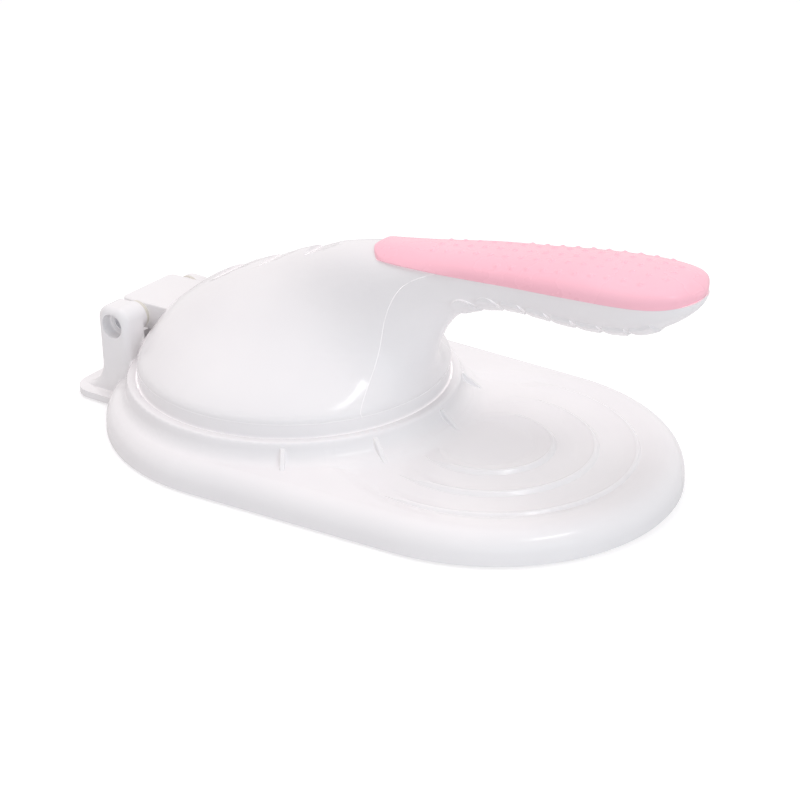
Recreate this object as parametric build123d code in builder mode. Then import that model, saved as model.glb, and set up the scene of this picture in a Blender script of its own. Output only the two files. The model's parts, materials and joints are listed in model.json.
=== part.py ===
from build123d import *
import math
import os

os.makedirs("parts", exist_ok=True)

# Dumpling wrapper press, closed. Millimetres, +Z up, table at z = 0.
# Positions below count from the table under the centre of the round press bed. The pieces are
# saved with the origin under the middle of the whole press.
# +X runs from the hinge to the tray and the handle, and the hinge pin lies along Y. -Y is the front.

# Base
foot_lift = 0.8             # height of the skirt's lower edge above the table
bed_end_margin = 10.5       # from the ring to the skirt's lower edge, round the press bed
bed_end_x = 3.3
tray_end_radius = 63.9      # outline round the filling tray
tray_x = 77.0
deck_height = 10.4          # top of the deck above the table
edge_rounding = 7.0         # rounding between the deck and the skirt
skirt_draft = 4.0           # degrees
floor_thickness = 2.6
skirt_wall = 2.6

# Filling tray
dish_radius = 55.0
dish_floor_radius = 46.0
dish_depth = 1.6
ripple_radii = (21.0, 34.8, 48.2)
ripple_height = 1.0
ripple_crown = 0.25         # rounding on top of a ripple
ripple_crest = 1.3          # width of that rounding
ripple_root = 0.2           # a ripple's flanks start this far below the tray floor
ripple_outer_run = 1.7      # from a ripple's middle outwards to its root
ripple_inner_run = 7.6      # from a ripple's middle inwards to its root
ripple_root_slope = 0.08    # rise of the inner flank at its root
ripple_fade = 14.0          # length over which a ripple sinks into the floor, on the press side
dish_flare_run = 10.5       # hollow from the ring down to the dish floor
dish_flare_drop = 3.2       # from the ring's top to the start of that hollow
dish_bend = 0.7             # height above the tray floor where its side turns from hollow to round

# Ring round the press bed
lid_radius = 54.0
ring_gap = 0.6              # between the lid's rim and the ring's bore
ring_top = 16.9
ring_wall = 3.1             # at the ring's top
ring_draft = 8.0            # degrees, outer side of the ring
ring_edge = 1.2             # rounding of the ring's outer top edge
ring_bore_edge = 0.25       # rounding of the bore's top edge
ring_flare = 5.0            # radius of the hollow between the ring and the deck
gusset_pitch = 30.0         # degrees between the small ribs on the ring
gusset_count = 5
gusset_turn = 2.0           # degrees that the middle rib lies off the X axis
gusset_thickness = 1.7
gusset_edge = 0.5
gusset_drop = 1.7           # from the ring's top to a gusset's top
gusset_run = 7.8            # from the ring out to the dish floor

# Press bed
bed_thickness = 3.0
bed_clearance = 0.3
bed_chamfer = 0.6
bed_screw_circle = 38.0
bed_screw_count = 4
bed_screw_start = 22.5      # degrees, between the ribs
bed_screw_bite = 2.2        # thread in the bed

# Underside
cavity_draft_room = 0.7     # extra inset of the hollow, which has no draft
rib_reach = 40.0            # length of a straight rib, cut off by the skirt
cover_thickness = 2.0
cover_clearance = 0.3
rib_thickness = 2.0
rib_count = 8
rib_circle_radius = 26.0
rib_gap = 0.3               # between the ribs and the cover
cover_boss_radius = 4.2
cover_screw_bite = 4.0
cover_screw_places = (
    (-40.0, 36.0), (-40.0, -36.0), (34.0, 54.0), (34.0, -54.0), (108.0, 36.0), (108.0, -36.0),
)
foot_radius = 7.0
foot_seat_depth = 1.0
foot_clearance = 0.15
foot_edge = 0.4
foot_places = {
    "foot_hinge_front": (-50.0, -20.0),
    "foot_hinge_back": (-50.0, 20.0),
    "foot_middle_front": (56.0, -50.0),
    "foot_middle_back": (56.0, 50.0),
    "foot_tray_front": (120.0, -20.0),
    "foot_tray_back": (120.0, 20.0),
}

# Countersunk screws
screw_radius = 1.4
screw_head_radius = 2.6
screw_head_height = 1.2
screw_end_room = 0.4        # blind hole beyond a screw's tip
screw_pilot_gap = 0.02      # radial, in the bosses
screw_hole_gap = 0.2        # radial, in the clamped piece
recess_width = 0.7
recess_length = 2.8
recess_depth = 0.7

# Hinge
pin_x = -57.8
pin_z = 29.0
pin_radius = 2.8
pin_chamfer = 0.5
pin_fit = 0.02              # radial, pin held in the ears
bush_wall = 0.9
bush_running_gap = 0.08     # radial, bushes turning on the pin
bush_fit = 0.02             # radial, bushes held in the lid
bush_length = 10.0
bush_flange_radius = 4.9
bush_flange_thickness = 1.2
hinge_side_gap = 0.4        # between a bush flange and the base
front_ear_inner_y = 19.0
front_ear_thickness = 9.0
front_ear_top = 35.8
front_pin_recess = 4.5      # from the ear's outer face to the end of the pin
back_ear_thickness = 6.0
back_ear_top = 32.8
back_pin_recess = 1.5
ear_width = 13.2
ear_corner = 4.6
ear_edge = 2.4
ear_counterbore_radius = 4.4
ear_heel = 11.0             # reach of the hollow heel behind each ear
ear_hub_radius = 5.2        # hub that fills the space between the front ear and the lid
ear_web_thickness = 3.0     # wall between the ears, below the lid's barrel
ear_web_top = 19.4
flange_back_x = -76.6
flange_half_width = 32.5
flange_thickness = 2.6
flange_corner = 9.0

# Lid
rim_bottom = 14.6           # lower edge of the lid shell, hidden in the ring
rim_relief = 0.4            # the part of the rim inside the ring is slimmer by this
rim_step = 16.4             # height of the step between the two, just inside the ring
rim_top = 21.4              # top of the upright rim
rim_ledge = 0.12            # step between the rim and the foot of the dome
lid_wall = 3.0
dome_thickening = 1.0       # share by which the wall grows towards the foot of the flat dome
crest_wall = 4.0            # upright, from the top of the dome to its hollow
roof_top = 33.7
roof_thickness = 4.2
roof_half_width = 13.7
roof_corner = 2.5
roof_edge = 0.6
roof_back_x = -65.6
roof_front_x = -38.0
arm_face_x = -52.4          # upright face of the lid under the roof
arm_bottom = 18.6           # clear of the ring while the lid turns
tooth_starts = (-46.0, -27.0, -9.0, 9.0)
tooth_length = 12.0
tooth_depth = 1.4           # at a tooth's start, from where it fades out towards the handle
tooth_half_width = 12.0

# Fan of sections through the dome and the neck. Every section lies in a plane through one
# line below the handle, parallel to the pin. Each row holds the plane's tilt in degrees, the
# distances from that line to the near and far sides, and the half width.
fan_x = 90.0
dome_foot = lid_radius - rim_ledge
fan_sections = (
    (0.0, fan_x - dome_foot, fan_x + dome_foot, dome_foot),
    (1.2, 35.9, 143.3, 53.5),
    (2.6, 35.8, 141.2, 51.6),
    (5.6, 35.8, 136.8, 45.6),
    (9.0, 35.9, 129.5, 37.8),
    (12.5, 36.0, 121.0, 30.3),
    (17.0, 36.2, 109.7, 23.2),
    (23.0, 36.6, 97.9, 17.8),
    (32.0, 37.4, 84.7, 14.4),
    (43.0, 38.4, 71.8, 12.8),
    (57.0, 38.6, 61.0, 12.3),
    (74.0, 37.6, 55.6, 12.8),
)
fan_egg = -0.12
neck_tilt = 23.0            # above this tilt the sections take the handle's shape
# Upright sections through the handle: place along X, bottom and top heights, half width.
handle_sections = (
    (90.0, 58.9, 76.4, 13.5),
    (105.0, 58.4, 78.1, 14.7),
    (120.0, 59.1, 79.3, 15.6),
    (131.0, 61.4, 79.5, 15.4),
    (139.0, 65.6, 79.2, 13.2),
    (144.0, 69.6, 78.6, 9.4),
    (146.6, 73.4, 77.8, 4.4),
)
handle_egg = 0.36
handle_squareness = 2.5
section_points = 20

# Soft grip, handle channel and the tongue between them
grip_proud = 1.0
grip_start_x = 35.6
grip_end_radius = 11.5      # round left end in plan
grip_end_run = 30.0         # from there the grip is as wide as the handle
grip_half_width = 19.0      # wider than the handle, so that only the left end is cut
grip_seat = (
    (20.0, 66.4), (45.0, 67.8), (67.0, 69.0), (88.0, 70.4), (108.0, 71.7), (121.0, 72.5), (133.0, 73.2),
    (140.0, 73.6), (146.6, 74.6), (160.0, 78.0),
)
seat_gap = 0.05             # between the soft grip and the white shells
tongue_thickness = 2.4
tongue_clearance = 0.2
tongue_end_x = 134.0
channel_line = (
    (46.5, 10.0), (46.2, 23.0), (45.0, 32.0), (45.2, 41.0), (46.0, 49.5), (47.8, 55.4),
    (52.0, 62.0), (58.0, 66.1), (66.0, 69.6), (80.0, 76.0),
)
channel_gap = 0.1           # line between the lid shell and the handle channel
boss_places = (66.0, 94.0, 120.0)
boss_radius = 4.2
boss_reach = 22.0           # long enough to meet the channel's floor
handle_screw_bite = 5.0
screw_sink = 0.3            # from the seat of the grip to the screw heads
finger_ridges = 8
finger_ridge_pitch = 8.6
finger_ridge_start = 72.0
finger_ridge_radius = 3.6
finger_ridge_half_width = 11.0
finger_ridge_proud = 0.9
dot_radius = 1.0
dot_proud = 0.35
dot_pitch_along = 5.2
dot_pitch_across = 5.8
dot_start = 58.8            # the three inner rows
dot_count = 16
outer_dot_start = 84.8      # the outer row on each side, where the grip is wide enough
outer_dot_count = 10

roof_over_handle = 100.0    # height that clears everything, for the cutting solids

# Press plate
plate_gap = 0.9             # room for the dough between the plate and the bed
plate_thickness = 2.4
plate_lip_height = 3.4
plate_lip_wall = 2.0
plate_lip_clearance = 0.2
plate_rib_thickness = 1.8
plate_rib_height = 5.0

# Derived sizes
ring_bore = lid_radius + ring_gap
ring_outer = ring_bore + ring_wall
bed_end_radius = ring_outer + bed_end_margin
plate_bottom = rim_bottom - plate_thickness
bed_top = plate_bottom - plate_gap
bed_seat = bed_top - bed_thickness
underside = bed_seat - floor_thickness
cover_top = foot_lift + cover_thickness
dish_floor = deck_height - dish_depth
ear_front_x = pin_x + ear_width / 2
ear_back_x = pin_x - ear_width / 2
flange_top = foot_lift + flange_thickness
barrel_radius = roof_top - pin_z
bush_inner = pin_radius + bush_running_gap
bush_outer = bush_inner + bush_wall
bush_face_y = roof_half_width + bush_flange_thickness
hub_face_y = bush_face_y + hinge_side_gap
front_ear_outer_y = front_ear_inner_y + front_ear_thickness
back_ear_outer_y = hub_face_y + back_ear_thickness
pin_front_y = front_pin_recess - front_ear_outer_y
pin_back_y = back_ear_outer_y - back_pin_recess
handle_end_x = handle_sections[-1][0]
far_reach = 2 * (handle_end_x - flange_back_x)
middle_x = (handle_end_x + flange_back_x) / 2


def put(piece, name):
    """Save a piece, moved so that the origin lies under the middle of the whole press."""
    placed = piece.part.moved(Location((-middle_x, 0, 0)))
    placed.label = name
    export_step(placed, f"parts/{name}.step")


def base_outline(inset):
    """The base's outline: two end arcs joined by their tangent lines."""
    bed_reach = bed_end_radius - inset
    tray_reach = tray_end_radius - inset
    lean = math.acos((bed_reach - tray_reach) / (tray_x - bed_end_x))
    bed_corner = (bed_end_x + bed_reach * math.cos(lean), bed_reach * math.sin(lean))
    tray_corner = (tray_x + tray_reach * math.cos(lean), tray_reach * math.sin(lean))
    with BuildSketch() as outline:
        with BuildLine():
            side = Line(tray_corner, bed_corner)
            ThreePointArc(bed_corner, (bed_end_x - bed_reach, 0), (bed_corner[0], -bed_corner[1]))
            Line((bed_corner[0], -bed_corner[1]), (tray_corner[0], -tray_corner[1]))
            ThreePointArc((tray_corner[0], -tray_corner[1]), (tray_x + tray_reach, 0), side @ 0)
        make_face()
    return outline.sketch


def egg_points(near, far, half_width, egg, squareness, grow):
    """Points round a section: a superellipse, wider towards one end by the egg shape."""
    middle = (near + far) / 2
    reach = (far - near) / 2 + grow
    peak = max(math.sin(t) * (1 + egg * math.cos(t)) for t in [math.pi * i / 60 for i in range(61)])
    points = []
    for i in range(section_points):
        angle = 2 * math.pi * i / section_points
        c = math.cos(angle)
        s = math.sin(angle)
        along = math.copysign(abs(c) ** (2 / squareness), c)
        across = math.copysign(abs(s) ** (2 / squareness), s)
        width = (half_width + grow) * across * (1 + egg * c) / peak
        points.append(Vector(middle + reach * along, width))
    return points


def lid_sections():
    """Plane, near side, far side, half width, shape and wall thickening of every section."""
    rows = []
    steepest = fan_sections[-1][0]
    for tilt, near, far, half_width in fan_sections:
        a = math.radians(tilt)
        plane = Plane(
            origin=(fan_x, 0, rim_top),
            x_dir=(-math.cos(a), 0, math.sin(a)),
            z_dir=(math.sin(a), 0, math.cos(a)),
        )
        blend = max(0, (tilt - neck_tilt) / (steepest - neck_tilt))
        egg = fan_egg * min(1, tilt / neck_tilt) * (1 - blend) + handle_egg * blend
        squareness = 2 + (handle_squareness - 2) * blend
        thickening = 1 + dome_thickening * max(0, 1 - tilt / neck_tilt)
        rows.append((plane, near, far, half_width, egg, squareness, thickening))
    for x, bottom, top, half_width in handle_sections:
        plane = Plane(origin=(x, 0, 0), x_dir=(0, 0, 1), z_dir=(1, 0, 0))
        rows.append((plane, bottom, top, half_width, handle_egg, handle_squareness, 1))
    return rows


def lid_body(grow, end_trim=0):
    """The dome, the neck and the handle as one smooth solid, grown or shrunk all round."""
    rows = lid_sections()
    even = [i / section_points for i in range(section_points + 1)]
    with BuildPart() as body:
        for plane, near, far, half_width, egg, squareness, thickening in rows[: len(rows) - end_trim]:
            with BuildSketch(plane):
                with BuildLine():
                    shift = grow * thickening if grow < 0 else grow
                    round_points = egg_points(near, far, half_width, egg, squareness, shift)
                    add(Edge.make_spline(round_points, periodic=True, parameters=even))
                make_face()
        loft()
    return body.part


def screw_group(places, length):
    """Countersunk screws pointing up, each place giving the underside of its head."""
    with BuildPart() as screws:
        with Locations(*places):
            Cone(
                screw_head_radius, screw_radius, screw_head_height,
                align=(Align.CENTER, Align.CENTER, Align.MIN),
            )
            Cylinder(screw_radius, length, align=(Align.CENTER, Align.CENTER, Align.MIN))
            Box(
                recess_length, recess_width, recess_depth,
                align=(Align.CENTER, Align.CENTER, Align.MIN), mode=Mode.SUBTRACT,
            )
            Box(
                recess_width, recess_length, recess_depth,
                align=(Align.CENTER, Align.CENTER, Align.MIN), mode=Mode.SUBTRACT,
            )
    return screws


def height_on(line, x):
    """Height at x of a line given by its points."""
    for (x0, z0), (x1, z1) in zip(line, line[1:]):
        if x0 <= x <= x1:
            return z0 + (z1 - z0) * (x - x0) / (x1 - x0)
    return line[-1][1]


def fan_point(tilt, distance):
    """Point in the middle plane at a distance along a fan section."""
    a = math.radians(tilt)
    return fan_x - distance * math.cos(a), rim_top + distance * math.sin(a)


def countersunk_holes(length, radius):
    """Holes for the countersunk screws at the current locations, opening downwards."""
    Cylinder(radius, length, align=(Align.CENTER, Align.CENTER, Align.MIN), mode=Mode.SUBTRACT)
    Cone(
        screw_head_radius + screw_pilot_gap, radius, screw_head_height,
        align=(Align.CENTER, Align.CENTER, Align.MIN), mode=Mode.SUBTRACT,
    )


def hinge_ear(inner_y, outer_y, top):
    """An ear in front of the middle plane, with a hollow heel and a rounded outer side."""
    with BuildPart() as ear:
        with BuildSketch(Plane.XZ.offset(inner_y)) as side:
            with BuildLine():
                heel = RadiusArc(
                    (ear_back_x - ear_heel, flange_top), (ear_back_x, flange_top + ear_heel), -ear_heel
                )
                Polyline(
                    heel @ 1, (ear_back_x, top), (ear_front_x, top), (ear_front_x, foot_lift),
                    (ear_back_x - ear_heel, foot_lift), heel @ 0,
                )
            make_face()
            fillet(side.vertices().filter_by(lambda v: v.Y > top - 0.01), ear_corner)
        extrude(amount=outer_y - inner_y)
        outer_face = ear.faces().sort_by(Axis.Y)[0]
        fillet(outer_face.edges().filter_by(lambda e: e.center().Z > flange_top), ear_edge)
    return ear.part


# Base shell: tray, skirt, ring, hinge ears and their flange in one moulding
skirt_outline = base_outline(0)
with BuildPart() as dish:
    with BuildSketch(Plane.XZ.shift_origin((tray_x, 0, 0))):
        with BuildLine():
            floor_line = Line((0, dish_floor), (dish_floor_radius, dish_floor))
            bend_radius = (dish_floor_radius + dish_radius) / 2
            hollow_side = TangentArc(floor_line @ 1, (bend_radius, dish_floor + dish_bend), tangent=(1, 0))
            round_side = TangentArc(hollow_side @ 1, (dish_radius, deck_height), tangent=hollow_side % 1)
            above_ring = ring_top + dish_depth
            Polyline(
                round_side @ 1, (dish_radius + above_ring, above_ring), (0, above_ring), floor_line @ 0,
            )
        make_face()
    revolve(axis=Axis((tray_x, 0, 0), (0, 0, 1)))
    with BuildSketch(Plane.XZ):
        with BuildLine():
            hollow = TangentArc(
                (ring_outer + dish_flare_run, dish_floor),
                (ring_outer + ring_edge, ring_top - dish_flare_drop),
                tangent=(-1, 0),
            )
            Polyline(
                hollow @ 1, (ring_outer + ring_edge, 2 * ring_top), (0, 2 * ring_top), (0, underside),
                (ring_outer + dish_flare_run, underside), hollow @ 0,
            )
        make_face()
    revolve(axis=Axis.Z, mode=Mode.SUBTRACT)

with BuildPart() as ripples:
    with BuildSketch(Plane.XZ.shift_origin((tray_x, 0, 0))):
        for ripple_radius in ripple_radii:
            with BuildLine():
                rise = TangentArc(
                    (ripple_radius - ripple_inner_run, dish_floor - ripple_root),
                    (ripple_radius - ripple_crest / 2, dish_floor + ripple_height),
                    tangent=(1, ripple_root_slope),
                )
                crown = ThreePointArc(
                    rise @ 1, (ripple_radius, dish_floor + ripple_height + ripple_crown),
                    (ripple_radius + ripple_crest / 2, dish_floor + ripple_height),
                )
                Polyline(crown @ 1, (ripple_radius + ripple_outer_run, dish_floor - ripple_root), rise @ 0)
            make_face()
    revolve(axis=Axis((tray_x, 0, 0), (0, 0, 1)))
    with BuildSketch(Plane.XZ):
        Polygon(
            (tray_x - ripple_fade, dish_floor - 2 * ripple_root),
            (tray_x - ripple_fade, dish_floor - ripple_root / 2),
            (tray_x, dish_floor + ripple_height + ripple_crown), (tray_x + 2 * dish_radius, ring_top),
            (tray_x + 2 * dish_radius, dish_floor - 2 * ripple_root), align=None,
        )
    extrude(amount=2 * dish_radius, both=True, mode=Mode.INTERSECT)

with BuildPart() as gusset:
    with BuildSketch(Plane.XZ):
        Polygon(
            (ring_bore, ring_top - gusset_drop), (ring_outer + gusset_drop / 2, ring_top - gusset_drop),
            (ring_outer + gusset_run, dish_floor), (ring_outer + gusset_run, underside),
            (ring_bore, underside), align=None,
        )
    extrude(amount=gusset_thickness / 2, both=True)
    sloping = gusset.faces().filter_by(lambda f: f.normal_at().X > 0.1 and f.normal_at().Z > 0.1)
    fillet(sloping.edges().filter_by(lambda e: abs(e.center().Y) > gusset_thickness / 4), gusset_edge)

cavity_outline = base_outline(skirt_wall + cavity_draft_room)
with BuildPart() as base_shell:
    with BuildSketch(Plane.XY.offset(foot_lift)):
        add(skirt_outline)
    extrude(amount=deck_height - foot_lift, taper=skirt_draft)
    fillet(base_shell.faces().sort_by(Axis.Z)[-1].edges(), edge_rounding)
    with BuildSketch(Plane.XY.offset(ring_top)):
        Circle(ring_outer)
    extrude(amount=underside - ring_top, taper=-ring_draft)
    fillet(base_shell.faces().sort_by(Axis.Z)[-1].edges(), ring_edge)
    ring_side = base_shell.faces().filter_by(lambda f: deck_height + 1 < f.center().Z < ring_top - 1)[0]
    ring_foot = ring_side.edges().filter_by(lambda e: e.bounding_box().max.Z < deck_height + 0.1)
    fillet(ring_foot, ring_flare)
    add(dish.part, mode=Mode.SUBTRACT)
    add(ripples.part)

    # Hinge ears and the flange behind them
    add(hinge_ear(front_ear_inner_y, front_ear_outer_y, front_ear_top))
    add(mirror(hinge_ear(hub_face_y, back_ear_outer_y, back_ear_top), about=Plane.XZ))
    with BuildSketch(Plane.XZ.offset(hub_face_y)):
        with Locations((pin_x, pin_z)):
            Circle(ear_hub_radius)
    extrude(amount=front_ear_inner_y + ear_edge - hub_face_y)
    with BuildSketch(Plane.XY.offset(foot_lift)) as flange:
        with BuildLine():
            Polyline(
                (pin_x + ear_width, -flange_half_width), (flange_back_x, -flange_half_width),
                (flange_back_x, flange_half_width), (pin_x + ear_width, flange_half_width), close=True,
            )
        make_face()
        fillet(flange.vertices().sort_by(Axis.X)[:2], flange_corner)
    extrude(amount=flange_thickness)
    with BuildSketch(Plane.XY.offset(foot_lift)):
        with Locations((ear_back_x, 0)):
            Rectangle(ear_web_thickness, hub_face_y + front_ear_inner_y, align=(Align.MIN, Align.CENTER))
    extrude(amount=ear_web_top - foot_lift)

    # Small ribs on the ring
    for i in range(gusset_count):
        add(gusset.part.rotate(Axis.Z, gusset_turn + gusset_pitch * (i - (gusset_count - 1) / 2)))

    # Bore for the lid and seat for the press bed
    with Locations((0, 0, bed_seat)):
        Cylinder(ring_bore, front_ear_top, align=(Align.CENTER, Align.CENTER, Align.MIN), mode=Mode.SUBTRACT)
    bore_edge = base_shell.edges().filter_by(GeomType.CIRCLE).filter_by(
        lambda e: abs(e.radius - ring_bore) < 0.01 and abs(e.center().Z - ring_top) < 0.01
    )
    fillet(bore_edge, ring_bore_edge)

    # Hollow underside with ribs and screw bosses
    with BuildSketch():
        add(cavity_outline)
    extrude(amount=underside, mode=Mode.SUBTRACT)
    with BuildSketch(Plane.XY.offset(underside)):
        for rib_centre_x in (0, tray_x):
            with Locations((rib_centre_x, 0)):
                Circle(rib_circle_radius + rib_thickness / 2)
                Circle(rib_circle_radius - rib_thickness / 2, mode=Mode.SUBTRACT)
                with PolarLocations(rib_circle_radius, rib_count):
                    Rectangle(rib_reach, rib_thickness, align=(Align.MIN, Align.CENTER))
        add(cavity_outline, mode=Mode.INTERSECT)
    extrude(amount=-(underside - cover_top - rib_gap))
    with BuildSketch(Plane.XY.offset(underside)):
        with Locations(*cover_screw_places):
            Circle(cover_boss_radius)
    extrude(amount=cover_top - underside)

    # Holes for the hinge pin, wider in front of its recessed ends
    with Locations(Location((pin_x, 0, pin_z), (90, 0, 0))):
        Cylinder(pin_radius + pin_fit, 3 * front_ear_outer_y, mode=Mode.SUBTRACT)
    with BuildSketch(Plane.XZ.offset(-pin_front_y)):
        with Locations((pin_x, pin_z)):
            Circle(ear_counterbore_radius)
    extrude(amount=2 * front_pin_recess, mode=Mode.SUBTRACT)

    # Screw holes
    with Locations(*[(x, y, cover_top) for x, y in cover_screw_places]):
        Cylinder(
            screw_radius + screw_pilot_gap, cover_screw_bite + screw_end_room,
            align=(Align.CENTER, Align.CENTER, Align.MIN), mode=Mode.SUBTRACT,
        )
    with Locations((0, 0, underside)):
        with PolarLocations(bed_screw_circle, bed_screw_count, start_angle=bed_screw_start):
            countersunk_holes(floor_thickness, screw_radius + screw_hole_gap)
put(base_shell, "base_shell")

# Press bed
with BuildPart() as press_bed:
    with Locations((0, 0, bed_seat)):
        Cylinder(ring_bore - bed_clearance, bed_thickness, align=(Align.CENTER, Align.CENTER, Align.MIN))
    chamfer(press_bed.faces().sort_by(Axis.Z)[-1].edges(), bed_chamfer)
    with Locations((0, 0, bed_seat)):
        with PolarLocations(bed_screw_circle, bed_screw_count, start_angle=bed_screw_start):
            Cylinder(
                screw_radius + screw_pilot_gap, bed_screw_bite,
                align=(Align.CENTER, Align.CENTER, Align.MIN), mode=Mode.SUBTRACT,
            )
put(press_bed, "press_bed")

bed_screw_places = []
for i in range(bed_screw_count):
    turn = math.radians(bed_screw_start + 360 * i / bed_screw_count)
    bed_screw_places.append((bed_screw_circle * math.cos(turn), bed_screw_circle * math.sin(turn), underside))
put(screw_group(bed_screw_places, floor_thickness + bed_screw_bite - screw_end_room), "bed_screws")

# Bottom cover with seats for the feet
cover_outline = base_outline(skirt_wall + cavity_draft_room + cover_clearance)
cover_screw_heads = [(x, y, foot_lift) for x, y in cover_screw_places]
with BuildPart() as bottom_cover:
    with BuildSketch(Plane.XY.offset(foot_lift)):
        add(cover_outline)
    extrude(amount=cover_thickness)
    with Locations(*cover_screw_heads):
        countersunk_holes(cover_thickness, screw_radius + screw_hole_gap)
    with Locations(*[(x, y, foot_lift) for x, y in foot_places.values()]):
        Cylinder(
            foot_radius + foot_clearance, foot_seat_depth,
            align=(Align.CENTER, Align.CENTER, Align.MIN), mode=Mode.SUBTRACT,
        )
put(bottom_cover, "bottom_cover")
put(screw_group(cover_screw_heads, cover_thickness + cover_screw_bite), "cover_screws")

# Rubber feet
for foot_name, foot_place in foot_places.items():
    with BuildPart() as foot:
        with Locations(foot_place):
            Cylinder(foot_radius, foot_lift + foot_seat_depth, align=(Align.CENTER, Align.CENTER, Align.MIN))
        fillet(foot.faces().sort_by(Axis.Z)[0].edges(), foot_edge)
    put(foot, foot_name)

# Hinge pin and the bushes that turn on it
with BuildPart(Plane.XZ.shift_origin((pin_x, 0, pin_z))) as hinge_pin:
    with Locations((0, 0, -(pin_front_y + pin_back_y) / 2)):
        Cylinder(pin_radius, pin_back_y - pin_front_y)
    chamfer(hinge_pin.faces().filter_by(GeomType.PLANE).edges(), pin_chamfer)
put(hinge_pin, "hinge_pin")

for bush_name, bush_side in (("hinge_bush_front", 1), ("hinge_bush_back", -1)):
    with BuildPart(Plane.XZ.shift_origin((pin_x, 0, pin_z))) as bush:
        with Locations((0, 0, bush_side * (roof_half_width - bush_length / 2))):
            Cylinder(bush_outer, bush_length)
        with Locations((0, 0, bush_side * (roof_half_width + bush_flange_thickness / 2))):
            Cylinder(bush_flange_radius, bush_flange_thickness)
        Cylinder(bush_inner, 3 * front_ear_outer_y, mode=Mode.SUBTRACT)
    put(bush, bush_name)

# Bodies that the lid, the handle channel and the soft grip are cut from
outer_body = lid_body(0)
inner_body = lid_body(-lid_wall, end_trim=2)
tongue_body = lid_body(-lid_wall - tongue_clearance, end_trim=2)
grip_body = lid_body(grip_proud)

with BuildPart() as above_seat:
    with BuildSketch(Plane.XZ):
        with BuildLine():
            seat = Spline(*grip_seat)
            Polyline(
                seat @ 1, (grip_seat[-1][0], 2 * roof_over_handle),
                (grip_seat[0][0], 2 * roof_over_handle), seat @ 0,
            )
        make_face()
    extrude(amount=2 * grip_half_width, both=True)
    with BuildSketch(Plane.XY):
        with Locations((grip_start_x + grip_end_radius, 0)):
            Circle(grip_end_radius)
        with Locations((grip_start_x + grip_end_run, 0)):
            Rectangle(far_reach, 2 * grip_half_width, align=(Align.MIN, Align.CENTER))
        make_hull()
    extrude(amount=3 * roof_over_handle, mode=Mode.INTERSECT)

with BuildPart() as tongue_band:
    with BuildSketch(Plane.XZ):
        with BuildLine():
            band_top = Spline(*grip_seat)
            band_bottom = Spline(*[(x, z - tongue_thickness) for x, z in grip_seat])
            Line(band_top @ 0, band_bottom @ 0)
            Line(band_top @ 1, band_bottom @ 1)
        make_face()
    extrude(amount=2 * grip_half_width, both=True)

with BuildPart() as channel_zone:
    with BuildSketch(Plane.XZ):
        with BuildLine():
            line_edge = Spline(*channel_line)
            Polyline(
                line_edge @ 1, (channel_line[-1][0], roof_over_handle), (far_reach, roof_over_handle),
                (far_reach, channel_line[0][1]), line_edge @ 0,
            )
        make_face()
    extrude(amount=2 * lid_radius, both=True)

# White shell of the lid and the handle, before it is parted and hollowed
crest_line = [fan_point(tilt, far) for tilt, near, far, half_width in fan_sections]
with BuildPart() as white_shell:
    add(outer_body)
    add(above_seat.part, mode=Mode.SUBTRACT)
    with BuildSketch(Plane.XZ):
        for tooth_start in tooth_starts:
            tooth_end = tooth_start + tooth_length
            start_height = height_on(crest_line, tooth_start)
            end_height = height_on(crest_line, tooth_end)
            Polygon(
                (tooth_start, start_height - tooth_depth), (tooth_end, end_height),
                (tooth_start, end_height), align=None,
            )
    extrude(amount=tooth_half_width, both=True, mode=Mode.SUBTRACT)

# Soft grip with rows of small dots
dot_places = [
    (dot_start + dot_pitch_along * i, dot_pitch_across * row)
    for row in (-1, 0, 1) for i in range(dot_count)
]
dot_places += [
    (outer_dot_start + dot_pitch_along * i, dot_pitch_across * row)
    for row in (-2, 2) for i in range(outer_dot_count)
]
with BuildPart() as dots:
    with Locations(*[(x, y, grip_seat[-1][1]) for x, y in dot_places]):
        Cylinder(dot_radius, grip_seat[-1][1] / 2)
    add(lid_body(grip_proud + dot_proud), mode=Mode.INTERSECT)
    add(above_seat.part.moved(Location((0, 0, 2 * seat_gap))), mode=Mode.INTERSECT)
with BuildPart() as soft_grip:
    add(grip_body)
    add(above_seat.part.moved(Location((0, 0, seat_gap))), mode=Mode.INTERSECT)
    add(dots.part)
put(soft_grip, "soft_grip")

# Handle channel: underside of the handle and front of the neck, with finger ridges and bosses
handle_screw_heads = [
    Location((x, 0, height_on(grip_seat, x) - screw_sink), (180, 0, 0)) for x in boss_places
]
underside_line = [fan_point(tilt, near) for tilt, near, far, half_width in fan_sections[-3:]]
underside_line += [(x, bottom) for x, bottom, top, half_width in handle_sections]
with BuildPart() as ridges:
    for i in range(finger_ridges):
        ridge_x = finger_ridge_start + i * finger_ridge_pitch
        ridge_z = height_on(underside_line, ridge_x) + finger_ridge_radius - finger_ridge_proud
        with Locations(Location((ridge_x, 0, ridge_z), (90, 0, 0))):
            Cylinder(finger_ridge_radius, 2 * finger_ridge_half_width)
    add(lid_body(finger_ridge_proud), mode=Mode.INTERSECT)
with BuildPart() as bosses:
    with Locations(*[(x, 0, height_on(grip_seat, x)) for x in boss_places]):
        Cylinder(boss_radius, boss_reach, align=(Align.CENTER, Align.CENTER, Align.MAX))
    add(outer_body, mode=Mode.INTERSECT)
    add(above_seat.part.moved(Location((0, 0, -tongue_thickness - seat_gap))), mode=Mode.SUBTRACT)
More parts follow.
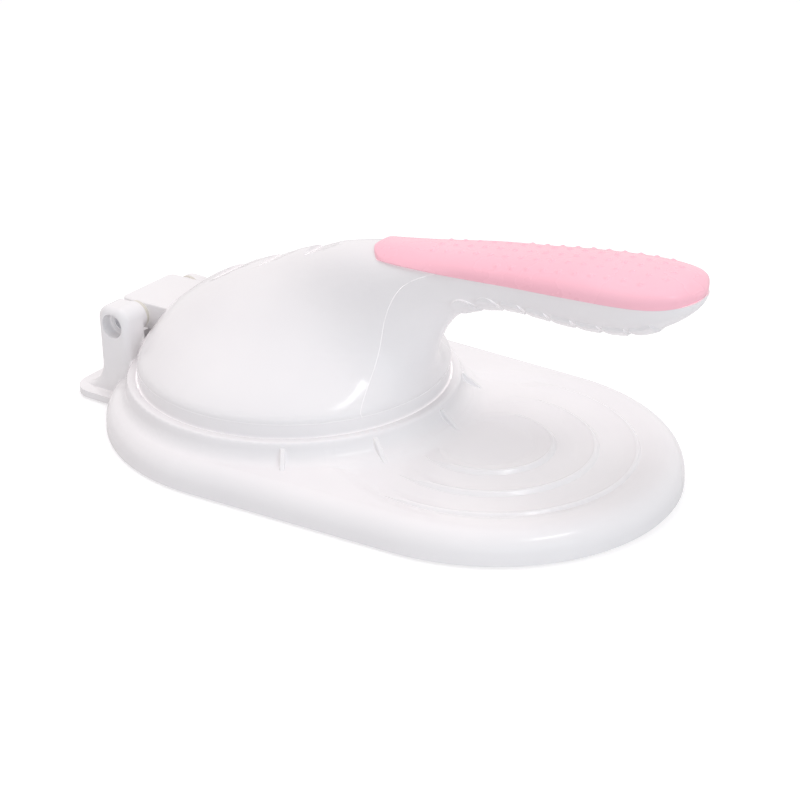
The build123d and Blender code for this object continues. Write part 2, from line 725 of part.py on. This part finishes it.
with BuildPart() as handle_channel:
    add(white_shell.part)
    add(ridges.part)
    add(channel_zone.part, mode=Mode.INTERSECT)
    add(inner_body, mode=Mode.SUBTRACT)
    add(bosses.part)
    with Locations(*handle_screw_heads):
        Cylinder(
            screw_radius + screw_pilot_gap, tongue_thickness + handle_screw_bite + screw_end_room,
            align=(Align.CENTER, Align.CENTER, Align.MIN), mode=Mode.SUBTRACT,
        )
put(handle_channel, "handle_channel")

# Tongue that runs from the lid into the handle, under the soft grip
with BuildPart() as tongue:
    add(tongue_body)
    add(tongue_band.part, mode=Mode.INTERSECT)
    with Locations((tongue_end_x, 0, 0)):
        Box(
            far_reach, 4 * grip_half_width, 2 * roof_over_handle,
            align=(Align.MIN, Align.CENTER, Align.CENTER), mode=Mode.SUBTRACT,
        )
with BuildPart() as tongue_root:
    add(white_shell.part)
    add(tongue_band.part, mode=Mode.INTERSECT)
    add(channel_zone.part.moved(Location((-channel_gap, 0, 0))), mode=Mode.SUBTRACT)

# Lid shell: dome, rim, roof and barrel over the hinge
with BuildPart() as dome_hollow:
    add(inner_body)
    add(outer_body.moved(Location((0, 0, -crest_wall))), mode=Mode.INTERSECT)
with BuildPart() as roof:
    with BuildSketch(Plane.XY.offset(roof_top - roof_thickness)):
        Rectangle(roof_front_x - roof_back_x, 2 * roof_half_width)
    extrude(amount=roof_thickness)
    roof_back_corners = roof.edges().filter_by(Axis.Z).sort_by(Axis.X)[:2]
    fillet(roof_back_corners, roof_corner)
    fillet(roof.faces().sort_by(Axis.Z)[-1].edges(), roof_edge)
with BuildPart() as lid_shell:
    add(white_shell.part)
    add(channel_zone.part.moved(Location((-channel_gap, 0, 0))), mode=Mode.SUBTRACT)
    with Locations((0, 0, rim_bottom)):
        Cylinder(lid_radius - rim_relief, rim_top - rim_bottom, align=(Align.CENTER, Align.CENTER, Align.MIN))
    with Locations((0, 0, rim_step)):
        Cylinder(lid_radius, rim_top - rim_step, align=(Align.CENTER, Align.CENTER, Align.MIN))
    add(roof.part.moved(Location(((roof_back_x + roof_front_x) / 2, 0, 0))))
    with BuildSketch(Plane.XZ):
        Polygon(
            (pin_x, pin_z - barrel_radius), (arm_face_x, pin_z - barrel_radius), (arm_face_x, arm_bottom),
            (roof_front_x, arm_bottom), (roof_front_x, roof_top - roof_thickness / 2),
            (pin_x, roof_top - roof_thickness / 2), align=None,
        )
        with Locations((pin_x, pin_z)):
            Circle(barrel_radius)
    extrude(amount=roof_half_width, both=True)
    add(dome_hollow.part, mode=Mode.SUBTRACT)
    with Locations((0, 0, rim_bottom)):
        Cylinder(
            lid_radius - lid_wall, rim_top - rim_bottom,
            align=(Align.CENTER, Align.CENTER, Align.MIN), mode=Mode.SUBTRACT,
        )
    add(tongue.part)
    add(tongue_root.part)
    with Locations(Location((pin_x, 0, pin_z), (90, 0, 0))):
        Cylinder(bush_outer + bush_fit, 3 * roof_half_width, mode=Mode.SUBTRACT)
    with Locations(*handle_screw_heads):
        countersunk_holes(tongue_thickness + 1, screw_radius + screw_hole_gap)
        Cylinder(
            screw_head_radius + screw_pilot_gap, 2 * screw_sink,
            align=(Align.CENTER, Align.CENTER, Align.MAX), mode=Mode.SUBTRACT,
        )
put(lid_shell, "lid_shell")
put(screw_group(handle_screw_heads, tongue_thickness + handle_screw_bite), "handle_screws")

# Press plate, snapped into the lid's rim
with BuildPart() as press_plate:
    with Locations((0, 0, plate_bottom)):
        Cylinder(lid_radius - rim_relief, plate_thickness, align=(Align.CENTER, Align.CENTER, Align.MIN))
    chamfer(press_plate.faces().sort_by(Axis.Z)[0].edges(), bed_chamfer)
    with BuildSketch(Plane.XY.offset(rim_bottom)):
        Circle(lid_radius - lid_wall - plate_lip_clearance)
        Circle(lid_radius - lid_wall - plate_lip_clearance - plate_lip_wall, mode=Mode.SUBTRACT)
    extrude(amount=plate_lip_height)
    with BuildSketch(Plane.XY.offset(rim_bottom)):
        Rectangle(2 * (lid_radius - lid_wall - plate_lip_wall), plate_rib_thickness)
        Rectangle(plate_rib_thickness, 2 * (lid_radius - lid_wall - plate_lip_wall))
    extrude(amount=plate_rib_height)
put(press_plate, "press_plate")
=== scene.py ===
import json
import math

import bpy
import numpy as np
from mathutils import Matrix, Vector


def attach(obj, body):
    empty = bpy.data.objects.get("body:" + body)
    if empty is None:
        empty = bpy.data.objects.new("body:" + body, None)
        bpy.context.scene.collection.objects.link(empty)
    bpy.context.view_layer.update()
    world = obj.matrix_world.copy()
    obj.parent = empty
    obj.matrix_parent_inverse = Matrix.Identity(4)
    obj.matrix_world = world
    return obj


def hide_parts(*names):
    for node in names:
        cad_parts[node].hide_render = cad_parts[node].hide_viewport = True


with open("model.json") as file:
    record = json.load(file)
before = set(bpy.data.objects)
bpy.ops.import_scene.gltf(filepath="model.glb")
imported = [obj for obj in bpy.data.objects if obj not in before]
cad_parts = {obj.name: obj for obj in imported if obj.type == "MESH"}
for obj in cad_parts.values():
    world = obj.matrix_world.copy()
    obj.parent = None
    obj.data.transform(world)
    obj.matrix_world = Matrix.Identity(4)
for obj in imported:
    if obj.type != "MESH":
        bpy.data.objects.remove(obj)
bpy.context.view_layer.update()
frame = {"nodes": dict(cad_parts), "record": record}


# Finishes

def finish(name):
    """A new material, with its node tree, its principled shader and its object coordinates."""
    made = bpy.data.materials.new(name)
    made.use_nodes = True
    tree = made.node_tree
    shader = tree.nodes["Principled BSDF"]
    place = tree.nodes.new("ShaderNodeTexCoord")
    return made, tree, shader, place.outputs["Object"]


def mottle(tree, place, scale, detail=3.0, stretch=(1.0, 1.0, 1.0)):
    """Soft noise over the piece. The scale is in cycles per metre, times the stretch along each axis."""
    spread = tree.nodes.new("ShaderNodeMapping")
    spread.inputs["Scale"].default_value = stretch
    tree.links.new(place, spread.inputs["Vector"])
    noise = tree.nodes.new("ShaderNodeTexNoise")
    noise.inputs["Scale"].default_value = scale
    noise.inputs["Detail"].default_value = detail
    tree.links.new(spread.outputs["Vector"], noise.inputs["Vector"])
    return noise.outputs["Fac"]


def between(tree, share, low, high):
    """Turns noise, which mostly lies between 0.3 and 0.7, into a number between low and high."""
    ranged = tree.nodes.new("ShaderNodeMapRange")
    ranged.inputs["From Min"].default_value = 0.3
    ranged.inputs["From Max"].default_value = 0.7
    ranged.inputs["To Min"].default_value = low
    ranged.inputs["To Max"].default_value = high
    tree.links.new(share, ranged.inputs["Value"])
    return ranged.outputs["Result"]


def tint(tree, share, low, high):
    """Blends two colours by noise."""
    blend = tree.nodes.new("ShaderNodeMix")
    blend.data_type = "RGBA"
    blend.inputs["A"].default_value = (*low, 1)
    blend.inputs["B"].default_value = (*high, 1)
    tree.links.new(between(tree, share, 0, 1), blend.inputs["Factor"])
    return blend.outputs["Result"]


def relief(tree, shader, height, depth):
    """Raises the surface by a height share, to a depth in metres."""
    bump = tree.nodes.new("ShaderNodeBump")
    bump.inputs["Strength"].default_value = 1.0
    bump.inputs["Distance"].default_value = depth
    tree.links.new(height, bump.inputs["Height"])
    tree.links.new(bump.outputs["Normal"], shader.inputs["Normal"])


def gap_light(tree, shader, colour, painted_gap_glow):
    """Painted light that keeps narrow gaps from going dark, standing in for light a milky plastic passes on
    inside: a glow in the plastic's own colour, strongest where the surface is closed in within two
    millimetres."""
    open_sky = tree.nodes.new("ShaderNodeAmbientOcclusion")
    open_sky.samples = 8
    open_sky.inputs["Distance"].default_value = 0.002
    painted_glow = tree.nodes.new("ShaderNodeMapRange")
    painted_glow.inputs["From Max"].default_value = 0.7
    painted_glow.inputs["To Min"].default_value = painted_gap_glow
    painted_glow.inputs["To Max"].default_value = 0.0
    tree.links.new(open_sky.outputs["AO"], painted_glow.inputs["Value"])
    tree.links.new(colour, shader.inputs["Emission Color"])
    tree.links.new(painted_glow.outputs["Result"], shader.inputs["Emission Strength"])


def moulded_plastic(name, low, high, smooth, dull, depth, painted_gap_glow):
    """Moulded plastic or rubber: faint clouds between two colours, a polish that varies between smooth
    and dull, a very fine ripple of the mould to a depth in metres, and painted light glowing in its narrow
    gaps."""
    cloud_scale, polish_scale, ripple_scale = 22, 70, 420
    made, tree, shader, place = finish(name)
    cloudy = tint(tree, mottle(tree, place, cloud_scale), low, high)
    polish = between(tree, mottle(tree, place, polish_scale), smooth, dull)
    tree.links.new(cloudy, shader.inputs["Base Color"])
    tree.links.new(polish, shader.inputs["Roughness"])
    relief(tree, shader, mottle(tree, place, ripple_scale, detail=2.0), depth)
    shader.inputs["IOR"].default_value = 1.5
    # a painted glow lightens the narrow gaps
    gap_light(tree, shader, cloudy, painted_gap_glow)
    return made


def turned_steel(name):
    """Plain steel with fine turning marks along Y and a slightly uneven sheen."""
    cloud_scale, polish_scale, mark_scale = 60, 300, 500
    mark_depth = 0.00001
    made, tree, shader, place = finish(name)
    cloudy = tint(tree, mottle(tree, place, cloud_scale), (0.52, 0.52, 0.54), (0.64, 0.64, 0.66))
    polish = between(tree, mottle(tree, place, polish_scale), 0.24, 0.38)
    tree.links.new(cloudy, shader.inputs["Base Color"])
    tree.links.new(polish, shader.inputs["Roughness"])
    relief(tree, shader, mottle(tree, place, mark_scale, stretch=(1, 8, 1)), mark_depth)
    shader.inputs["Metallic"].default_value = 1.0
    return made


# The last number of each plastic finish is the strength of the painted glow in its narrow gaps.
finishes = {
    "white_plastic": moulded_plastic(
        "white_plastic", low=(0.84, 0.82, 0.83), high=(0.88, 0.86, 0.865),
        smooth=0.12, dull=0.22, depth=0.00001, painted_gap_glow=0.38,
    ),
    "bush_plastic": moulded_plastic(
        "bush_plastic", low=(0.66, 0.63, 0.56), high=(0.72, 0.69, 0.63),
        smooth=0.40, dull=0.52, depth=0.00002, painted_gap_glow=0.2,
    ),
    "pink_grip": moulded_plastic(
        "pink_grip", low=(0.98, 0.51, 0.60), high=(1.0, 0.56, 0.65),
        smooth=0.20, dull=0.32, depth=0.00002, painted_gap_glow=0.2,
    ),
    "foot_rubber": moulded_plastic(
        "foot_rubber", low=(0.52, 0.52, 0.53), high=(0.60, 0.60, 0.61),
        smooth=0.62, dull=0.78, depth=0.00006, painted_gap_glow=0.0,
    ),
    "steel": turned_steel("steel"),
}


# Smooth shading of the moulded pieces

def rounded_shading(edge_angle):
    """Node group that joins loose triangles and shades them smooth, except at edges that turn by more
    than the angle, in degrees."""
    group = bpy.data.node_groups.new("rounded_shading", "GeometryNodeTree")
    group.interface.new_socket("Geometry", in_out="INPUT", socket_type="NodeSocketGeometry")
    group.interface.new_socket("Geometry", in_out="OUTPUT", socket_type="NodeSocketGeometry")
    source = group.nodes.new("NodeGroupInput")
    result = group.nodes.new("NodeGroupOutput")
    join = group.nodes.new("GeometryNodeMergeByDistance")
    join.inputs["Distance"].default_value = 0.000002
    faces = group.nodes.new("GeometryNodeSetShadeSmooth")
    edges = group.nodes.new("GeometryNodeSetShadeSmooth")
    edges.domain = "EDGE"
    edges.inputs["Shade Smooth"].default_value = False
    angle = group.nodes.new("GeometryNodeInputMeshEdgeAngle")
    sharp = group.nodes.new("FunctionNodeCompare")
    sharp.data_type = "FLOAT"
    sharp.operation = "GREATER_THAN"
    sharp.inputs["B"].default_value = math.radians(edge_angle)
    group.links.new(source.outputs["Geometry"], join.inputs["Geometry"])
    group.links.new(join.outputs["Geometry"], faces.inputs["Geometry"])
    group.links.new(faces.outputs["Geometry"], edges.inputs["Geometry"])
    group.links.new(angle.outputs["Unsigned Angle"], sharp.inputs["A"])
    group.links.new(sharp.outputs["Result"], edges.inputs["Selection"])
    group.links.new(edges.outputs["Geometry"], result.inputs["Geometry"])
    return group


shading = rounded_shading(edge_angle=28)
slots = {row["node"]: row["material_slot"] for row in frame["record"]["subparts"]}
for node_name, node in frame["nodes"].items():
    node.data.materials.clear()
    node.data.materials.append(finishes[slots[node_name]])
    smoothing = node.modifiers.new("rounded_shading", "NODES")
    smoothing.node_group = shading
    weighted = node.modifiers.new("even_shading", "WEIGHTED_NORMAL")
    weighted.keep_sharp = True


# Soft grip, in millimetres. Places are counted along the handle, from the frame's origin.

# Egg-shaped sections, of which the grip is the part above its seat: place, low end, high end and half
# width of each.
grip_sections = np.array((
    (0.6, -60.0, 70.9, 18.8), (7.0, -20.8, 71.7, 16.6), (13.0, 13.7, 72.4, 14.8), (19.0, 35.9, 73.1, 13.5),
    (25.0, 44.7, 73.9, 13.2), (31.0, 51.0, 74.7, 13.3), (37.0, 55.3, 75.5, 13.5), (45.0, 57.2, 76.4, 14.0),
    (55.0, 57.6, 77.4, 14.5), (67.0, 57.1, 78.8, 15.5), (79.0, 57.4, 79.9, 16.3), (91.0, 59.1, 80.5, 16.7),
    (97.0, 60.6, 80.5, 16.3), (103.0, 64.1, 80.2, 14.6), (106.5, 67.0, 79.9, 12.5), (109.0, 69.3, 79.6, 10.3),
    (111.6, 72.0, 78.9, 7.2),
))
# The seat of the grip on the white shells: place and height.
grip_seat = np.array((
    (0.6, 67.35), (13.0, 68.0), (31.0, 69.0), (49.0, 70.2), (67.0, 71.4), (85.0, 72.5), (98.0, 73.25),
    (105.0, 73.65), (111.6, 74.65),
))
squareness = 2.5            # power of the sections' curve: 2 is an ellipse, and more is squarer
egg = 0.36                  # how much fuller a section is towards its top
egg_width = 1.057           # takes most of the width that the egg shape adds off again
highest_foot = 0.98         # share of a section's upper half that the seat may reach up to
seat_gap = 0.05             # space between the grip and its seat
seat_edge = 0.4             # quarter round where the sides meet the seat
round_end = 11.5            # radius of the end near the dome, seen from above
flare = math.atan(0.365)    # angle by which the sides spread after that round end
limit_power = 20            # how sharply the sides are held inside that outline
dome_end_rise = 1.2         # length over which the end near the dome reaches its full height
nose_rise = 7.0             # the same at the free end
nose_spread = 4.0           # length over which the free end reaches its full width
ring_evenness = 0.7         # 1 spaces the rings evenly, and less draws them together at both ends

dot_start = 23.8
dot_columns = 16
dot_pitch = 5.2
dot_row_pitch = 5.8
dot_radius = 1.2
dot_height = 0.5
outer_row = 2               # rows on each side of the middle one
outer_row_late = 5          # columns that an outer row leaves out at its start


def smooth_curve(rows, column, along):
    """A smooth curve through the rows, each stretch a cubic that shares its slopes with its neighbours."""
    places, values = rows[:, 0], rows[:, column]
    slopes = np.gradient(values, places)
    k = np.clip(np.searchsorted(places, along) - 1, 0, len(places) - 2)
    run = places[k + 1] - places[k]
    t = (along - places[k]) / run
    start = (2 * t**3 - 3 * t**2 + 1) * values[k] + (t**3 - 2 * t**2 + t) * run * slopes[k]
    return start + (3 * t**2 - 2 * t**3) * values[k + 1] + (t**3 - t**2) * run * slopes[k + 1]


def quarter_round(distance, length):
    """Share that grows from 0 to 1 over the length, along a quarter circle."""
    return np.sqrt(1 - (1 - np.clip(distance / length, 0, 1)) ** 2)


def soft_dots(x, y):
    """Height of the nearest dot, which is the square of 1 minus the squared distance over the squared
    radius. The dots stand in straight rows. The two outer rows leave out some dots at the start and
    the last one."""
    row = np.clip(np.rint(y / dot_row_pitch), -outer_row, outer_row)
    outer = np.abs(row) == outer_row
    column = np.clip(np.rint((x - dot_start) / dot_pitch), outer_row_late * outer, dot_columns - 1 - outer)
    away = (x - dot_start - column * dot_pitch) ** 2 + (y - row * dot_row_pitch) ** 2
    return dot_height * np.clip(1 - away / dot_radius**2, 0, 1) ** 2


def held_inside(y, along):
    """Holds y inside the grip's outline from above, which is a circle that runs on into straight sides.
    The result is y over a root of 1 plus the same power of y over the outline."""
    touch = round_end * (1 - math.sin(flare))
    circle = np.sqrt(np.clip(round_end**2 - (round_end - along) ** 2, 1e-6, None))
    side = round_end * math.cos(flare) + math.tan(flare) * (along - touch)
    outline = np.where(along < touch, circle, side)
    return y / (1 + np.abs(y / outline) ** limit_power) ** (1 / limit_power)


def grip_rings(stations, across, below):
    """Rings round the grip, at places along the handle. Over the top a ring is the upper part of an egg:
    u runs from side to side over a sine, the height falls with the root of 1 minus u to the power
    squareness, and y is u times the half width, fuller where the ring is high. The ring then turns in
    under a small quarter round and closes along the seat. Quarter rounds and the outline from above
    draw the rings together at both ends, and the dots stand on the top."""
    start, end = grip_sections[0, 0], grip_sections[-1, 0]
    share = np.linspace(0, 1, stations)
    drawn = (1 - ring_evenness) / 2 * (1 - np.cos(np.pi * share))
    x = start + (end - start) * (ring_evenness * share + drawn)
    low, high, half = (smooth_curve(grip_sections, column, x)[:, None] for column in (1, 2, 3))
    seat = smooth_curve(grip_seat, 1, x)[:, None]
    x = x[:, None]
    middle, reach = (low + high) / 2, (high - low) / 2

    foot = np.clip((seat + seat_edge - middle) / reach, 0, highest_foot) ** (squareness / 2)
    u = (1 - foot**2) ** (1 / squareness) * np.sin(np.pi / 2 * np.linspace(-1, 1, across))
    fall = np.sqrt(1 - np.abs(u) ** squareness)
    y = half * u * (1 + egg * fall) / egg_width
    y = held_inside(y, x - start) * quarter_round(end - x, nose_spread)
    z = middle + reach * fall ** (2 / squareness) + soft_dots(x, y)

    turn = np.linspace(0, np.pi / 2, below)[None, 1:]
    inset = np.minimum(seat_edge, y[:, -1:] / 3)
    side_y = y[:, -1:] - inset * (1 - np.cos(turn))
    side_z = seat + seat_edge * (1 - np.sin(turn))
    flat_y = side_y[:, -1:] * np.linspace(1, -1, below)[None, 1:-1]
    flat_z = seat + 0 * flat_y
    ring_y = np.hstack((y, side_y, flat_y, -side_y[:, ::-1]))
    ring_z = np.hstack((z, side_z, flat_z, side_z[:, ::-1]))
    rise = quarter_round(x - start, dome_end_rise) * quarter_round(end - x, nose_rise)
    ring_z = seat + (ring_z - seat) * rise + seat_gap
    return np.stack((x + 0 * ring_y, ring_y, ring_z), axis=2) / 1000


def closed_rings(name, rings):
    """A mesh through the rings, whose first and last close to a single point each."""
    count, around = rings.shape[:2]
    places = np.vstack((rings[0, :1], rings[1:-1].reshape(-1, 3), rings[-1, :1]))
    grid = 1 + np.arange((count - 2) * around).reshape(count - 2, around)
    following = np.roll(grid, -1, axis=1)
    quads = np.stack((grid[:-1], grid[1:], following[1:], following[:-1]), axis=2).reshape(-1, 4)
    first = np.stack((grid[0], following[0], np.zeros(around, int)), axis=1)
    last = np.stack((following[-1], grid[-1], np.full(around, len(places) - 1)), axis=1)
    mesh = bpy.data.meshes.new(name)
    mesh.from_pydata(places, [], quads.tolist() + first.tolist() + last.tolist())
    mesh.shade_smooth()
    made = bpy.data.objects.new(name, mesh)
    bpy.context.scene.collection.objects.link(made)
    return made


grip = closed_rings("soft_grip_skin", grip_rings(stations=370, across=170, below=7))
grip.data.materials.append(finishes["pink_grip"])
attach(grip, "lid")
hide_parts("soft_grip")


# Table and studio

def table_top(reach, camera_glow):
    """A plain pale table top. A faint glow that only the camera sees keeps it white round the shadow."""
    mesh = bpy.data.meshes.new("table_top")
    corners = [(-reach, -reach, 0), (reach, -reach, 0), (reach, reach, 0), (-reach, reach, 0)]
    mesh.from_pydata(corners, [], [(0, 1, 2, 3)])
    top = bpy.data.objects.new("table_top", mesh)
    bpy.context.scene.collection.objects.link(top)
    made, tree, shader, _ = finish("pale_table")
    shader.inputs["Base Color"].default_value = (0.8, 0.8, 0.8, 1)
    shader.inputs["Roughness"].default_value = 0.9
    shader.inputs["Specular IOR Level"].default_value = 0.0
    shader.inputs["Emission Color"].default_value = (1, 1, 1, 1)
    rays = tree.nodes.new("ShaderNodeLightPath")
    glow = tree.nodes.new("ShaderNodeMath")
    glow.operation = "MULTIPLY"
    glow.inputs[1].default_value = camera_glow
    tree.links.new(rays.outputs["Is Camera Ray"], glow.inputs[0])
    tree.links.new(glow.outputs["Value"], shader.inputs["Emission Strength"])
    mesh.materials.append(made)


def studio_air(colour, strength):
    """Even light from all round, which is white where the camera or a reflection sees it."""
    air = bpy.data.worlds.new("studio_air")
    bpy.context.scene.world = air
    air.use_nodes = True
    tree = air.node_tree
    tree.nodes.clear()
    rays = tree.nodes.new("ShaderNodeLightPath")
    seen = tree.nodes.new("ShaderNodeMath")
    seen.operation = "MAXIMUM"
    soft = tree.nodes.new("ShaderNodeBackground")
    soft.inputs["Color"].default_value = (*colour, 1)
    soft.inputs["Strength"].default_value = strength
    white = tree.nodes.new("ShaderNodeBackground")
    white.inputs["Color"].default_value = (1, 1, 1, 1)
    white.inputs["Strength"].default_value = 1.0
    mix = tree.nodes.new("ShaderNodeMixShader")
    out = tree.nodes.new("ShaderNodeOutputWorld")
    tree.links.new(rays.outputs["Is Camera Ray"], seen.inputs[0])
    tree.links.new(rays.outputs["Is Glossy Ray"], seen.inputs[1])
    tree.links.new(seen.outputs["Value"], mix.inputs["Fac"])
    tree.links.new(soft.outputs["Background"], mix.inputs[1])
    tree.links.new(white.outputs["Background"], mix.inputs[2])
    tree.links.new(mix.outputs["Shader"], out.inputs["Surface"])


def softbox(name, place, width, height, power, colour, mirrored):
    """A rectangular soft lamp that faces the press, and shows in reflections if it is mirrored."""
    press = Vector((0.0, 0.0, 0.03))
    lamp = bpy.data.lights.new(name, "AREA")
    lamp.shape = "RECTANGLE"
    lamp.size = width
    lamp.size_y = height
    lamp.energy = power
    lamp.color = colour
    holder = bpy.data.objects.new(name, lamp)
    holder.location = place
    holder.visible_glossy = mirrored
    holder.rotation_euler = (press - Vector(place)).to_track_quat("-Z", "Y").to_euler()
    bpy.context.scene.collection.objects.link(holder)


table_top(reach=6.0, camera_glow=0.30)
studio_air(colour=(0.99, 0.965, 0.975), strength=0.63)
softbox(
    "overhead_lamp", place=(-0.25, 0.10, 1.10), width=1.1, height=0.9, power=5.6,
    colour=(1.0, 0.95, 0.965), mirrored=False,
)
softbox(
    "side_fill", place=(1.15, -0.80, 0.40), width=1.2, height=0.7, power=4.4,
    colour=(0.74, 0.91, 1.0), mirrored=False,
)
softbox(
    "window_lamp", place=(0.72, -0.15, 0.95), width=0.40, height=0.12, power=1.2,
    colour=(1.0, 1.0, 1.0), mirrored=True,
)


# Camera at the photograph's angle

def photo_camera(place, azimuth, elevation, lens):
    """Looks down by the elevation, and along the azimuth, counted from +Y towards -X, in degrees."""
    camera = bpy.data.cameras.new("photo_camera")
    camera.lens = lens
    camera.sensor_width = 36.0
    camera.clip_start = 0.01
    holder = bpy.data.objects.new("photo_camera", camera)
    a = math.radians(azimuth)
    e = math.radians(elevation)
    back = Vector((math.sin(a) * math.cos(e), -math.cos(a) * math.cos(e), math.sin(e)))
    holder.location = place
    holder.rotation_euler = (-back).to_track_quat("-Z", "Y").to_euler()
    bpy.context.scene.collection.objects.link(holder)
    bpy.context.scene.camera = holder


photo_camera(place=(0.2668, -0.4061, 0.2471), azimuth=32.491, elevation=25.696, lens=72.0)
bpy.context.scene.view_settings.view_transform = "Standard"
